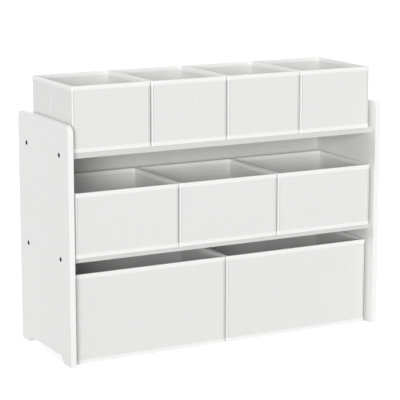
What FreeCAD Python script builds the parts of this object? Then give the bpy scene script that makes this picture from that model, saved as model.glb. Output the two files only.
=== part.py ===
import FreeCAD, Part
import os
import Sketcher

# Toy storage organizer: two side panels carry two shelves, and nine fabric bins stand in three rows,
# four on the top shelf, three on the middle shelf and two on the floor. Millimetres, +Z up, the front
# faces -Y, and the origin lies on the floor under the middle of the organizer.

SIZES = (
    # Carcass
    ("overall_width", 900.0, "over both side panels"),
    ("panel_depth", 320.0, "side panel, front to back"),
    ("panel_height", 606.0, "side panel, floor to top edge"),
    ("board_thickness", 15.0, "side panels and shelves"),
    ("panel_corner_radius", 22.0, "upper corners of a side panel"),
    ("edge_break", 0.8, "small chamfer on the boards' long edges"),
    ("foot_length", 46.0, "of each foot, along the floor"),
    ("foot_rise", 17.0, "height of the cut-out between the feet"),
    ("foot_slope", 15.0, "run of the cut-out's sloping ends"),
    ("foot_round", 8.0, "radius at the bends of the cut-out"),
    ("shelf_front_setback", 28.0, "shelf edge behind the panel's front edge"),
    ("shelf_back_setback", 28.0, "shelf edge before the panel's back edge"),
    ("top_shelf_level", 535.0, "upper face of the top shelf"),
    ("middle_shelf_level", 274.0, "upper face of the middle shelf"),
    ("back_thickness", 3.0, "hardboard back"),
    ("back_floor_gap", 25.0, "lower edge of the back above the floor"),
    ("back_top_inset", 1.0, "upper edge of the back below the top shelf's face"),
    ("groove_depth", 5.0, "groove in the side panels for the back"),
    ("groove_end_gap", 0.5, "between the back's edge and the groove's floor"),
    ("groove_side_gap", 0.1, "between the back's faces and the groove's walls"),
    # Fasteners
    ("screw_inset", 27.5, "screw axis from the shelf's front or back edge"),
    ("screw_length", 45.0, "over the head"),
    ("screw_shank", 5.0, "shank diameter"),
    ("screw_head", 10.0, "head diameter, flush in its countersink"),
    ("screw_head_height", 2.5, "length of the conical head"),
    ("hole_gap", 0.1, "radial gap round screws and dowels"),
    ("hole_end_gap", 1.0, "free length past a screw's tip or a dowel's end"),
    ("dowel_diameter", 6.0, "beech dowel"),
    ("dowel_length", 24.0, "beech dowel"),
    ("dowel_in_panel", 8.0, "part of the dowel that lies in the side panel"),
    # Fabric bins
    ("small_bin_height", 163.0, "bins on the two shelves"),
    ("large_bin_height", 229.5, "bins on the floor"),
    ("bin_gap", 3.0, "between neighbouring bins"),
    ("bin_side_gap", 7.4, "between the outer bins and the side panels"),
    ("bin_back_gap", 28.5, "between the middle bins and the back"),
    ("top_row_recess", 23.0, "fronts of the top bins behind the panels' front edges"),
    ("middle_row_recess", 11.5, "the same for the middle bins"),
    ("low_row_recess", 27.5, "the same for the bins on the floor"),
    ("fabric_thickness", 1.0, "one layer of cover or lining"),
    ("stiffener_thickness", 2.0, "cardboard in the walls"),
    ("stiffener_gap", 0.1, "round a stiffener in its pocket"),
    ("fold_seam_width", 8.0, "sewn strip between the two half boards of a side wall"),
    ("binding_thickness", 0.5, "tape on the rim and the lower edge"),
    ("binding_gap", 0.05, "between tape and cover"),
    ("rim_binding_height", 11.0, "both flaps of the rim binding"),
    ("base_binding_height", 10.0, "tape round the lower edge"),
    ("base_binding_lift", 0.5, "tape above what the bin stands on"),
    ("bin_corner", 2.5, "bevel of the outer upright corners, over the bindings"),
    ("base_board_thickness", 3.0, "covered board on the bin's floor"),
    ("base_board_gap", 1.5, "between the base board and the lining"),
    ("base_board_corner", 4.0, "bevel of the base board's corners"),
)


# Lengths that several pieces share, as expressions of the sizes above.
INNER_WIDTH = "(Sizes.overall_width - 2 * Sizes.board_thickness)"
SHELF_DEPTH = "(Sizes.panel_depth - Sizes.shelf_front_setback - Sizes.shelf_back_setback)"
SHELF_BACK = "(Sizes.panel_depth - Sizes.shelf_back_setback)"
HALF_BOARD = "Sizes.board_thickness / 2"
SHELF_LEVELS = {"top_shelf": "Sizes.top_shelf_level", "middle_shelf": "Sizes.middle_shelf_level"}
SCREW_HOLE = "(Sizes.screw_shank + 2 * Sizes.hole_gap)"
DOWEL_HOLE = "(Sizes.dowel_diameter + 2 * Sizes.hole_gap)"
SCREW_IN_SHELF = "(Sizes.screw_length - Sizes.board_thickness)"
DOWEL_IN_SHELF = "(Sizes.dowel_length - Sizes.dowel_in_panel)"

# Distances of the fasteners from a shelf's front edge: a screw near each edge and a dowel midway.
SCREW_ROW = ("Sizes.screw_inset", f"({SHELF_DEPTH} - Sizes.screw_inset)")
DOWEL_ROW = (f"({SHELF_DEPTH} / 2)",)

# All bins are equally deep, and the middle ones, which stand furthest forward, set that depth.
BIN_DEPTH = f"({SHELF_BACK} - Sizes.middle_row_recess - Sizes.bin_back_gap)"

# A bin wall is a stiffener in its pocket between two layers of fabric, and the floor is two layers.
TAPE = "(Sizes.binding_thickness + Sizes.binding_gap)"
POCKET = "(Sizes.stiffener_thickness + 2 * Sizes.stiffener_gap)"
WALL = f"(2 * Sizes.fabric_thickness + {POCKET})"
FLOOR = "2 * Sizes.fabric_thickness"

# Each row of bins: their names, the level they stand on, their recess and their height.
ROWS = (
    (("top_bin_1", "top_bin_2", "top_bin_3", "top_bin_4"),
     "Sizes.top_shelf_level", "Sizes.top_row_recess", "Sizes.small_bin_height"),
    (("middle_bin_1", "middle_bin_2", "middle_bin_3"),
     "Sizes.middle_shelf_level", "Sizes.middle_row_recess", "Sizes.small_bin_height"),
    (("low_bin_1", "low_bin_2"),
     "0", "Sizes.low_row_recess", "Sizes.large_bin_height"),
)

# Two lengths that differ by less than this are taken as the same.
CLOSE = 1e-6

doc = FreeCAD.newDocument("ToyOrganizer")
sheet = doc.addObject("Spreadsheet::Sheet", "Sizes")
for row, (alias, value, note) in enumerate(SIZES, start=1):
    sheet.set(f"A{row}", str(value))
    sheet.setAlias(f"A{row}", alias)
    sheet.set(f"B{row}", note)
doc.recompute()

pieces = []


# ---- Drawing helpers ----

def named_piece(label, kind="PartDesign::Body"):
    """Add an object that becomes a node of its own."""
    piece = doc.addObject(kind, label)
    piece.Label = label
    pieces.append(piece)
    return piece


def place(piece, x, y, z):
    """Put a piece's own origin at a point given by three expressions."""
    for axis, expression in zip("xyz", (x, y, z)):
        piece.setExpression(f"Placement.Base.{axis}", expression)


def sketch_on(body, role, name, offset="0"):
    """Start a sketch on one of the body's origin planes, moved along that plane's normal."""
    sketch = body.newObject("Sketcher::SketchObject", name)
    plane = next(item for item in body.Origin.OriginFeatures if item.Role == role)
    sketch.AttachmentSupport = (plane, [""])
    sketch.MapMode = "FlatFace"
    sketch.setExpression("AttachmentOffset.Base.z", offset)
    return sketch


def fix_point(sketch, edge, point, x, y):
    """Dimension a point of an edge from the sketch's origin with two expressions."""
    for kind, expression, axis in (("DistanceX", x, -2), ("DistanceY", y, -1)):
        if expression == "0":
            sketch.addConstraint(Sketcher.Constraint("PointOnObject", edge, point, axis))
            continue
        start = float(sketch.evalExpression(expression))
        index = sketch.addConstraint(Sketcher.Constraint(kind, -1, 1, edge, point, start))
        sketch.renameConstraint(index, f"{kind}_{edge}")
        sketch.setExpression(f"Constraints.{kind}_{edge}", expression)


def draw_loop(sketch, corners):
    """Draw a closed loop of lines through corners, each a pair of expressions."""
    first = sketch.GeometryCount
    points = [FreeCAD.Vector(*(float(sketch.evalExpression(item)) for item in corner)) for corner in corners]
    for start, end in zip(points, points[1:] + points[:1]):
        sketch.addGeometry(Part.LineSegment(start, end), False)
    for index in range(len(corners)):
        following = (index + 1) % len(corners)
        sketch.addConstraint(Sketcher.Constraint("Coincident", first + index, 2, first + following, 1))
    for index, (x, y) in enumerate(corners):
        fix_point(sketch, first + index, 1, x, y)


def draw_rectangle(sketch, left, bottom, right, top):
    """Draw a rectangle between two corners given by expressions."""
    draw_loop(sketch, ((left, bottom), (right, bottom), (right, top), (left, top)))


def draw_circle(sketch, x, y, diameter):
    """Draw a circle about a point given by expressions."""
    index = sketch.GeometryCount
    centre = FreeCAD.Vector(float(sketch.evalExpression(x)), float(sketch.evalExpression(y)))
    radius = float(sketch.evalExpression(diameter)) / 2
    sketch.addGeometry(Part.Circle(centre, FreeCAD.Vector(0, 0, 1), radius), False)
    fix_point(sketch, index, 3, x, y)
    size = sketch.addConstraint(Sketcher.Constraint("Diameter", index, 2 * radius))
    sketch.renameConstraint(size, f"Diameter_{index}")
    sketch.setExpression(f"Constraints.Diameter_{index}", diameter)


def pad(body, name, sketch, length):
    """Raise a sketch along its plane's normal."""
    feature = body.newObject("PartDesign::Pad", name)
    feature.Profile = sketch
    feature.setExpression("Length", length)
    doc.recompute()


def pocket(body, name, sketch, depth, along_normal=False):
    """Cut a sketch into the body, and make sure that the cut removed material."""
    before = body.Shape.Volume
    feature = body.newObject("PartDesign::Pocket", name)
    feature.Profile = sketch
    feature.Reversed = along_normal
    feature.setExpression("Length", depth)
    doc.recompute()
    if body.Shape.Volume >= before:
        raise RuntimeError(f"{body.Label}: {name} cuts nothing")


def wanted_edges(body, wanted):
    """List the edges of the body's last feature that the test function wants."""
    base = body.Tip
    return base, [f"Edge{number}" for number, edge in enumerate(base.Shape.Edges, start=1) if wanted(edge)]


def round_edges(body, name, radius, wanted):
    """Round the edges of the body that the test function wants."""
    edges = wanted_edges(body, wanted)
    feature = body.newObject("PartDesign::Fillet", name)
    feature.Base = edges
    feature.setExpression("Radius", radius)
    doc.recompute()


def bevel_edges(body, name, width, wanted):
    """Bevel the edges of the body that the test function wants."""
    edges = wanted_edges(body, wanted)
    feature = body.newObject("PartDesign::Chamfer", name)
    feature.Base = edges
    feature.setExpression("Size", width)
    doc.recompute()


def runs_along(edge, axis):
    """Say whether an edge is straight and parallel to an axis, 0, 1 or 2."""
    if edge.Curve.TypeId != "Part::GeomLine":
        return False
    direction = edge.tangentAt(edge.FirstParameter)
    return abs(abs(direction[axis]) - 1) < CLOSE


def size(alias):
    """Read one size from the sheet."""
    return float(sheet.get(alias))


# ---- Carcass ----

def side_panel(label, side):
    """Build a side panel: side is -1 for the left one and +1 for the right one."""
    left = side < 0
    outer_face = "0" if left else "Sizes.board_thickness"
    inner_face = "Sizes.board_thickness" if left else "0"
    depth, height = "Sizes.panel_depth", "Sizes.panel_height"
    body = named_piece(label)

    outline = sketch_on(body, "YZ_Plane", f"{label}_outline")
    draw_loop(outline, (
        ("0", "0"),
        ("Sizes.foot_length", "0"),
        ("Sizes.foot_length + Sizes.foot_slope", "Sizes.foot_rise"),
        (f"{depth} - Sizes.foot_length - Sizes.foot_slope", "Sizes.foot_rise"),
        (f"{depth} - Sizes.foot_length", "0"),
        (depth, "0"),
        (depth, height),
        ("0", height),
    ))
    pad(body, f"{label}_board", outline, "Sizes.board_thickness")

    top, rise = size("panel_height"), size("foot_rise")
    round_edges(body, f"{label}_top_corners", "Sizes.panel_corner_radius",
                lambda edge: runs_along(edge, 0) and abs(edge.CenterOfMass.z - top) < CLOSE)
    heels = (0.0, size("panel_depth"))
    round_edges(body, f"{label}_foot_bends", "Sizes.foot_round",
                lambda edge: runs_along(edge, 0) and edge.CenterOfMass.z < rise + CLOSE
                and all(abs(edge.CenterOfMass.y - y) > CLOSE for y in heels))
    faces = (0.0, size("board_thickness"))
    bevel_edges(body, f"{label}_edge_breaks", "Sizes.edge_break",
                lambda edge: any(abs(edge.BoundBox.XMin - x) < CLOSE and abs(edge.BoundBox.XMax - x) < CLOSE
                                 for x in faces))

    groove = sketch_on(body, "YZ_Plane", f"{label}_groove_outline", inner_face)
    draw_rectangle(groove, f"{SHELF_BACK} - Sizes.groove_side_gap", "-Sizes.edge_break",
                   f"{SHELF_BACK} + Sizes.back_thickness + Sizes.groove_side_gap",
                   "Sizes.top_shelf_level - Sizes.back_top_inset + Sizes.groove_end_gap")
    pocket(body, f"{label}_groove", groove, "Sizes.groove_depth", along_normal=not left)

    dowel_holes = sketch_on(body, "YZ_Plane", f"{label}_dowel_marks", inner_face)
    screw_holes = sketch_on(body, "YZ_Plane", f"{label}_screw_marks", outer_face)
    for level in SHELF_LEVELS.values():
        axis_height = f"{level} - {HALF_BOARD}"
        for marks, spots, diameter in ((dowel_holes, DOWEL_ROW, DOWEL_HOLE),
                                       (screw_holes, SCREW_ROW, SCREW_HOLE)):
            for spot in spots:
                draw_circle(marks, f"Sizes.shelf_front_setback + {spot}", axis_height, diameter)
    pocket(body, f"{label}_dowel_holes", dowel_holes, "Sizes.dowel_in_panel + Sizes.hole_end_gap",
           along_normal=not left)
    countersunk_holes(body, f"{label}_screw_holes", screw_holes, along_normal=left)
    place(body, "-Sizes.overall_width / 2" if left else "Sizes.overall_width / 2 - Sizes.board_thickness",
          "-Sizes.panel_depth / 2", "0")


def countersunk_holes(body, name, marks, along_normal):
    """Drill through the board at the marked circles, each with a countersink for a screw's head."""
    before = body.Shape.Volume
    hole = body.newObject("PartDesign::Hole", name)
    hole.Profile = marks
    doc.recompute()
    hole.Reversed = along_normal
    hole.DepthType = "ThroughAll"
    hole.HoleCutType = "Countersink"
    hole.HoleCutCustomValues = True
    hole.setExpression("Diameter", SCREW_HOLE)
    hole.setExpression("HoleCutDiameter", "Sizes.screw_head + 2 * Sizes.hole_gap")
    hole.setExpression("HoleCutCountersinkAngle",
                       "2 * atan((Sizes.screw_head - Sizes.screw_shank) / 2 / Sizes.screw_head_height)")
    doc.recompute()
    if body.Shape.Volume >= before:
        raise RuntimeError(f"{body.Label}: {name} cuts nothing")


def shelf(label, level):
    """Build a shelf, with screw and dowel holes in its ends."""
    body = named_piece(label)
    outline = sketch_on(body, "XY_Plane", f"{label}_outline")
    draw_rectangle(outline, "0", "0", INNER_WIDTH, SHELF_DEPTH)
    pad(body, f"{label}_board", outline, "Sizes.board_thickness")
    bevel_edges(body, f"{label}_front_breaks", "Sizes.edge_break",
                lambda edge: runs_along(edge, 0) and abs(edge.CenterOfMass.y) < CLOSE)

    for end, offset, inwards in (("left", "0", True), ("right", INNER_WIDTH, False)):
        for kind, spots, diameter, depth in (("screw", SCREW_ROW, SCREW_HOLE, SCREW_IN_SHELF),
                                             ("dowel", DOWEL_ROW, DOWEL_HOLE, DOWEL_IN_SHELF)):
            marks = sketch_on(body, "YZ_Plane", f"{label}_{end}_{kind}_marks", offset)
            for spot in spots:
                draw_circle(marks, spot, HALF_BOARD, diameter)
            pocket(body, f"{label}_{end}_{kind}_holes", marks, f"{depth} + Sizes.hole_end_gap",
                   along_normal=inwards)
    place(body, f"-{INNER_WIDTH} / 2", "-Sizes.panel_depth / 2 + Sizes.shelf_front_setback",
          f"{level} - Sizes.board_thickness")


def back_panel():
    """Build the thin back, which stands in both side panels' grooves against the shelves."""
    label = "back_panel"
    in_groove = "(Sizes.groove_depth - Sizes.groove_end_gap)"
    body = named_piece(label)
    outline = sketch_on(body, "XZ_Plane", f"{label}_outline")
    draw_rectangle(outline, f"-{in_groove}", "0", f"{INNER_WIDTH} + {in_groove}",
                   "Sizes.top_shelf_level - Sizes.back_top_inset - Sizes.back_floor_gap")
    pad(body, f"{label}_board", outline, "Sizes.back_thickness")
    place(body, f"-{INNER_WIDTH} / 2", f"-Sizes.panel_depth / 2 + {SHELF_BACK} + Sizes.back_thickness",
          "Sizes.back_floor_gap")


# ---- Fasteners ----

def turned(label, profile):
    """Turn a profile of (radius, length) expressions about the Z axis into a loose solid."""
    body = doc.addObject("PartDesign::Body", label)
    outline = sketch_on(body, "XZ_Plane", f"{label}_outline")
    draw_loop(outline, profile)
    feature = body.newObject("PartDesign::Revolution", f"{label}_turning")
    feature.Profile = outline
    feature.ReferenceAxis = (outline, ["V_Axis"])
    doc.recompute()
    return body


def screw(label):
    """Build one shelf screw, its flat head at the origin and its tip along +Z."""
    head, shank = "Sizes.screw_head / 2", "Sizes.screw_shank / 2"
    return turned(label, (
        ("0", "0"),
        (head, "0"),
        (shank, "Sizes.screw_head_height"),
        (shank, "Sizes.screw_length"),
        ("0", "Sizes.screw_length"),
    ))


def dowel(label):
    """Build one beech dowel along +Z from the origin."""
    radius, length = "Sizes.dowel_diameter / 2", "Sizes.dowel_length"
    return turned(label, (("0", "0"), (radius, "0"), (radius, length), ("0", length)))


def lay_along(piece, direction, x, y, z):
    """Point a turned piece's own Z axis in a direction and put its origin at a point."""
    turn = FreeCAD.Rotation(FreeCAD.Vector(0, 0, 1), direction)
    piece.Placement = FreeCAD.Placement(FreeCAD.Vector(), turn)
    place(piece, x, y, z)


def fasteners():
    """Build the shelf screws and the dowels, each kind as one group of solids."""
    screws, dowels = [], []
    front = "-Sizes.panel_depth / 2 + Sizes.shelf_front_setback"
    for shelf_name, level in SHELF_LEVELS.items():
        height = f"{level} - {HALF_BOARD}"
        for side_name, side in (("left", -1), ("right", 1)):
            inwards = FreeCAD.Vector(-side, 0, 0)
            for number, spot in enumerate(SCREW_ROW, start=1):
                one = screw(f"{shelf_name}_{side_name}_screw_{number}")
                lay_along(one, inwards, f"{side} * Sizes.overall_width / 2", f"{front} + {spot}", height)
                screws.append(one)
            for number, spot in enumerate(DOWEL_ROW, start=1):
                one = dowel(f"{shelf_name}_{side_name}_dowel_{number}")
                lay_along(one, inwards, f"{side} * ({INNER_WIDTH} / 2 + Sizes.dowel_in_panel)",
                          f"{front} + {spot}", height)
                dowels.append(one)
    named_piece("shelf_screws", "Part::Compound").Links = screws
    named_piece("shelf_dowels", "Part::Compound").Links = dowels


# ---- Fabric bins ----

def inset_rectangle(sketch, width, inset):
    """Draw a rectangle at an even inset from a bin's outline."""
    draw_rectangle(sketch, inset, inset, f"{width} - {inset}", f"{BIN_DEPTH} - {inset}")


def bevel_uprights(body, name, width, inset):
    """Bevel the upright edges at the corners of a rectangle of that inset from a bin's outline."""
    near, far = (float(body.evalExpression(side)) for side in (inset, f"{BIN_DEPTH} - {inset}"))

    def at_corner(edge):
        """Tell the corner edges of the front and rear sides by their depth."""
        depth = edge.CenterOfMass.y
        return runs_along(edge, 2) and min(abs(depth - near), abs(depth - far)) < CLOSE

    bevel_edges(body, name, width, at_corner)


def bin_cover(label, width, height):
    """Build the sewn cover: an open box with a pocket for a stiffener in each wall."""
    body = named_piece(label)
    rim = f"{height} - {TAPE}"
    outline = sketch_on(body, "XY_Plane", f"{label}_outline")
    inset_rectangle(outline, width, TAPE)
    pad(body, f"{label}_block", outline, rim)
    bevel_uprights(body, f"{label}_corners", "Sizes.bin_corner", TAPE)

    inside = sketch_on(body, "XY_Plane", f"{label}_inside_outline", rim)
    inset_rectangle(inside, width, f"({TAPE} + {WALL})")
    pocket(body, f"{label}_inside", inside, f"{rim} - {FLOOR}")

    near, deep = f"({TAPE} + Sizes.fabric_thickness)", f"({TAPE} + Sizes.fabric_thickness + {POCKET})"
    start = f"({TAPE} + {WALL})"
    pockets = sketch_on(body, "XY_Plane", f"{label}_pocket_outlines", rim)
    draw_rectangle(pockets, start, near, f"{width} - {start}", deep)
    draw_rectangle(pockets, start, f"{BIN_DEPTH} - {deep}", f"{width} - {start}", f"{BIN_DEPTH} - {near}")
    for left, right in ((near, deep), (f"{width} - {deep}", f"{width} - {near}")):
        draw_rectangle(pockets, left, start, right, f"({BIN_DEPTH} - Sizes.fold_seam_width) / 2")
        draw_rectangle(pockets, left, f"({BIN_DEPTH} + Sizes.fold_seam_width) / 2", right,
                       f"{BIN_DEPTH} - {start}")
    pocket(body, f"{label}_pockets", pockets, f"{rim} - {FLOOR}")


def wall_boards(label, width, height):
    """Build the cardboard stiffeners: one in the front and rear wall, two halves in each side wall."""
    start = f"({TAPE} + {WALL} + Sizes.stiffener_gap)"
    near = f"({TAPE} + Sizes.fabric_thickness + Sizes.stiffener_gap)"
    thick = "Sizes.stiffener_thickness"
    long_side = f"({width} - 2 * {start})"
    half_side = f"(({BIN_DEPTH} - Sizes.fold_seam_width) / 2 - {start} - Sizes.stiffener_gap)"
    right_wall = f"{width} - {near} - {thick}"
    rear_half = f"({BIN_DEPTH} + Sizes.fold_seam_width) / 2 + Sizes.stiffener_gap"
    boards = []
    for wall, x, y, length, breadth in (
            ("front", start, near, long_side, thick),
            ("rear", start, f"{BIN_DEPTH} - {near} - {thick}", long_side, thick),
            ("left_front", near, start, thick, half_side),
            ("left_rear", near, rear_half, thick, half_side),
            ("right_front", right_wall, start, thick, half_side),
            ("right_rear", right_wall, rear_half, thick, half_side)):
        board = doc.addObject("Part::Box", f"{label}_{wall}")
        board.setExpression("Length", length)
        board.setExpression("Width", breadth)
        board.setExpression("Height", f"{height} - {TAPE} - {FLOOR} - Sizes.stiffener_gap")
        place(board, x, y, FLOOR)
        boards.append(board)
    named_piece(label, "Part::Compound").Links = boards


def rim_binding(label, width, height):
    """Build the tape folded over the rim: a ring of U section, open below."""
    body = named_piece(label)
    tape = "Sizes.binding_thickness"
    inner = f"(2 * {TAPE} + {WALL})"
    ring = sketch_on(body, "XY_Plane", f"{label}_outline", f"{height} - Sizes.rim_binding_height")
    inset_rectangle(ring, width, "0")
    inset_rectangle(ring, width, inner)
    pad(body, f"{label}_ring", ring, "Sizes.rim_binding_height")

    fold = sketch_on(body, "XY_Plane", f"{label}_fold_outline", f"{height} - Sizes.rim_binding_height")
    inset_rectangle(fold, width, tape)
    inset_rectangle(fold, width, f"({tape} + 2 * Sizes.binding_gap + {WALL})")
    pocket(body, f"{label}_fold", fold, f"Sizes.rim_binding_height - {tape}", along_normal=True)
    bevel_uprights(body, f"{label}_fold_corners", "Sizes.bin_corner", tape)
    bevel_uprights(body, f"{label}_corners", "Sizes.bin_corner", "0")


def base_binding(label, width):
    """Build the tape round the lower edge of the cover."""
    body = named_piece(label)
    tape = "Sizes.binding_thickness"
    ring = sketch_on(body, "XY_Plane", f"{label}_outline", "Sizes.base_binding_lift")
    inset_rectangle(ring, width, "0")
    inset_rectangle(ring, width, tape)
    pad(body, f"{label}_ring", ring, "Sizes.base_binding_height")
    bevel_uprights(body, f"{label}_inner_corners", "Sizes.bin_corner", tape)
    bevel_uprights(body, f"{label}_corners", "Sizes.bin_corner", "0")


def base_board(label, width):
    """Build the loose board that lies on the bin's floor."""
    body = named_piece(label)
    inset = f"({TAPE} + {WALL} + Sizes.base_board_gap)"
    outline = sketch_on(body, "XY_Plane", f"{label}_outline", FLOOR)
    inset_rectangle(outline, width, inset)
    pad(body, f"{label}_board", outline, "Sizes.base_board_thickness")
    bevel_uprights(body, f"{label}_corners", "Sizes.base_board_corner", inset)


def bin_row(names, level, recess, height):
    """Build one row of equal bins between the side panels."""
    gaps = len(names) - 1
    width = f"(({INNER_WIDTH} - 2 * Sizes.bin_side_gap - {gaps} * Sizes.bin_gap) / {len(names)})"
    for index, name in enumerate(names):
        start = len(pieces)
        bin_cover(f"{name}_cover", width, height)
        wall_boards(f"{name}_wall_boards", width, height)
        rim_binding(f"{name}_rim_binding", width, height)
        base_binding(f"{name}_base_binding", width)
        base_board(f"{name}_base_board", width)
        left = f"-{INNER_WIDTH} / 2 + Sizes.bin_side_gap + {index} * ({width} + Sizes.bin_gap)"
        for part in pieces[start:]:
            place(part, left, f"-Sizes.panel_depth / 2 + {recess}", level)


side_panel("left_side_panel", -1)
side_panel("right_side_panel", 1)
for shelf_label, shelf_level in SHELF_LEVELS.items():
    shelf(shelf_label, shelf_level)
back_panel()
fasteners()
for bins in ROWS:
    bin_row(*bins)
doc.recompute()

for item in doc.Objects:
    if "Invalid" in item.State or "Error" in item.State:
        raise RuntimeError(f"{item.Label} failed: {item.State}")
for piece in pieces:
    if piece.Shape.isNull() or not piece.Shape.isValid():
        raise RuntimeError(f"{piece.Label} has no valid shape")

os.makedirs("parts", exist_ok=True)
for piece in pieces:
    piece.Shape.exportStep(f"parts/{piece.Label}.step")
print(len(pieces), "pieces written")
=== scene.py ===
"""Looks of the toy storage organizer: finishes for its boards and fasteners, sewn bins, camera and studio."""

import logging
import math
from dataclasses import dataclass, field
from enum import Enum

import bmesh
import bpy
from mathutils import Matrix, Vector, noise


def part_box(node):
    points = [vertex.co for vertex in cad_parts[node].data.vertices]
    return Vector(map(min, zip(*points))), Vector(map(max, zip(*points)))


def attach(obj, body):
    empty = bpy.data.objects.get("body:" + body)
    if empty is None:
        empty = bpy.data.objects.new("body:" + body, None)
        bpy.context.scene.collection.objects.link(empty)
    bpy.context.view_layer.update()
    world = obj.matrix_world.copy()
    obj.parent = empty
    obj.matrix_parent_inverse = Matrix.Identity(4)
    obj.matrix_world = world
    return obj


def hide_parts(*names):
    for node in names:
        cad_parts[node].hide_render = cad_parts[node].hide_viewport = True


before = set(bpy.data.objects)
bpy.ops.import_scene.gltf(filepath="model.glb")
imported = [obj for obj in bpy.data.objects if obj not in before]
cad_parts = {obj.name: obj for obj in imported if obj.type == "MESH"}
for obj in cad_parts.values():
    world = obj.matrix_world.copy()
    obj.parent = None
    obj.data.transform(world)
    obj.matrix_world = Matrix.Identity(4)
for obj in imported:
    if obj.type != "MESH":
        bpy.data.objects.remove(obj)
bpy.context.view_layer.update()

MM = 0.001
FRAME_BODY = "frame"
# The marks on the cloth's points that say how far each one belongs to a hem or to a seam.
# The hem mark paints the cloth paler: the doubled hem, and on the corners a painted highlight.
PALE_HEM_AND_HIGHLIGHT = "hem"
# The seam mark darkens the seam creases with painted shade.
SEAM_SHADE = "seam"
# A point this near to a face lies on it, and a vertex this near to a cut is used as it is.
ON_FACE = 0.1 * MM
ON_CUT = 0.01 * MM
# An edge runs along an axis, and a face is level, where this share of its length or normal points so.
ALONG_AXIS = 0.999
LEVEL = 0.5
# Edges that bend by more degrees than this look sharp.
SHARP_ABOVE = 35.0
SHARP_ABOVE_TAPE = 50.0
NEVER_SHARP = 180.0

log = logging.getLogger("organizer")


class Slot(Enum):
    """The record's material slots."""

    BOARD = "white_board"
    HARDBOARD = "hardboard"
    STEEL = "screw_steel"
    BEECH = "beech"
    CLOTH = "cover_fabric"
    TAPE = "binding_tape"
    CARDBOARD = "cardboard"
    COVERED_BOARD = "covered_board"


# ---- Nodes and meshes ----

def linear(colour: str) -> tuple[float, float, float, float]:
    """Turn an sRGB hex colour into linear light, by the standard's own curve.

    Args:
        colour: the colour as "#RRGGBB".

    Returns:
        Red, green, blue and an alpha of 1.
    """
    shares = [int(colour[start:start + 2], 16) / 255 for start in (1, 3, 5)]
    red, green, blue = (share / 12.92 if share <= 0.04045 else ((share + 0.055) / 1.055) ** 2.4
                        for share in shares)
    return red, green, blue, 1.0


def add_node(owner: bpy.types.Material | bpy.types.World, kind: str,
             inputs: dict[str | int, object] | None = None, **settings: object) -> bpy.types.Node:
    """Add a shader node, set it up, and fill its inputs with values or links.

    Args:
        owner: the material or world whose tree gets the node.
        kind: the node's type name.
        inputs: for each input, by name or number, a value or the socket that feeds it.
        settings: the node's own properties.

    Returns:
        The new node.
    """
    node = owner.node_tree.nodes.new(kind)
    for name, value in settings.items():
        setattr(node, name, value)
    for key, value in (inputs or {}).items():
        if isinstance(value, bpy.types.NodeSocket):
            owner.node_tree.links.new(value, node.inputs[key])
        else:
            node.inputs[key].default_value = value
    return node


def blank_material(name: str) -> bpy.types.Material:
    """Make a material with an empty node tree.

    Args:
        name: the material's name.

    Returns:
        The material, which still needs an output.
    """
    material = bpy.data.materials.new(name)
    material.use_nodes = True
    material.node_tree.nodes.clear()
    return material


def finish_surface(material: bpy.types.Material, inputs: dict[str | int, object]) -> bpy.types.Material:
    """Close a material's tree with the surface shader and the output.

    Args:
        material: the material to close.
        inputs: values and links for the surface shader.

    Returns:
        The same material.
    """
    shader = add_node(material, "ShaderNodeBsdfPrincipled", inputs)
    add_node(material, "ShaderNodeOutputMaterial", {"Surface": shader.outputs["BSDF"]})
    return material


def rounded(bm: bmesh.types.BMesh, edges: list[bmesh.types.BMEdge], radius: float, segments: int) -> None:
    """Round some edges.

    Args:
        bm: the mesh under work.
        edges: the edges to round.
        radius: how far the round reaches from each edge.
        segments: faces across the round.
    """
    bmesh.ops.bevel(bm, geom=edges, offset=radius, offset_type="OFFSET", segments=segments, profile=0.5,
                    affect="EDGES", material=-1)


def add_block(bm: bmesh.types.BMesh, low: Vector, high: Vector) -> list[bmesh.types.BMFace]:
    """Add a rectangular block.

    Args:
        bm: the mesh under work.
        low: its lowest corner.
        high: its highest corner.

    Returns:
        The block's faces.
    """
    placed = Matrix.Translation((low + high) / 2) @ Matrix.Diagonal((*(high - low), 1.0))
    made = bmesh.ops.create_cube(bm, size=1.0, matrix=placed)
    return list({face for vert in made["verts"] for face in vert.link_faces})


def uprights_of(faces: list[bmesh.types.BMFace]) -> list[bmesh.types.BMEdge]:
    """Find the upright edges of some faces.

    Args:
        faces: the faces of one block.

    Returns:
        Their edges that run along Z.
    """
    runs = {edge: edge.verts[1].co - edge.verts[0].co for face in faces for edge in face.edges}
    return [edge for edge, run in runs.items() if abs(run.z) > ALONG_AXIS * run.length]


def turns_level(edge: bmesh.types.BMEdge) -> bool:
    """Tell whether a level face and an upright one meet at an edge."""
    faces = edge.link_faces
    return len(faces) == 2 and abs(faces[0].normal.z - faces[1].normal.z) > LEVEL


def cut_across(bm: bmesh.types.BMesh, axis: int, places: list[float]) -> None:
    """Cut loops of edges through the whole mesh, square to one axis.

    Args:
        bm: the mesh under work.
        axis: 0, 1 or 2 for X, Y or Z.
        places: where along that axis the cuts lie.
    """
    normal = Vector([float(index == axis) for index in range(3)])
    for place in places:
        bmesh.ops.bisect_plane(bm, geom=bm.verts[:] + bm.edges[:] + bm.faces[:], dist=ON_CUT,
                               plane_co=normal * place, plane_no=normal)


def divide_along(bm: bmesh.types.BMesh, axis: int, pitch: float) -> None:
    """Divide the long edges along one axis evenly, and the four-sided faces between them.

    Args:
        bm: the mesh under work.
        axis: 0, 1 or 2 for X, Y or Z.
        pitch: the distance wanted between the new loops of edges.
    """
    by_cuts: dict[int, list[bmesh.types.BMEdge]] = {}
    for edge in bm.edges:
        run = edge.verts[1].co - edge.verts[0].co
        cuts = round(run.length / pitch) - 1
        if cuts > 0 and abs(run[axis]) > ALONG_AXIS * run.length:
            by_cuts.setdefault(cuts, []).append(edge)
    for cuts, edges in by_cuts.items():
        bmesh.ops.subdivide_edges(bm, edges=edges, cuts=cuts, use_grid_fill=True, use_only_quads=True)


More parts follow.
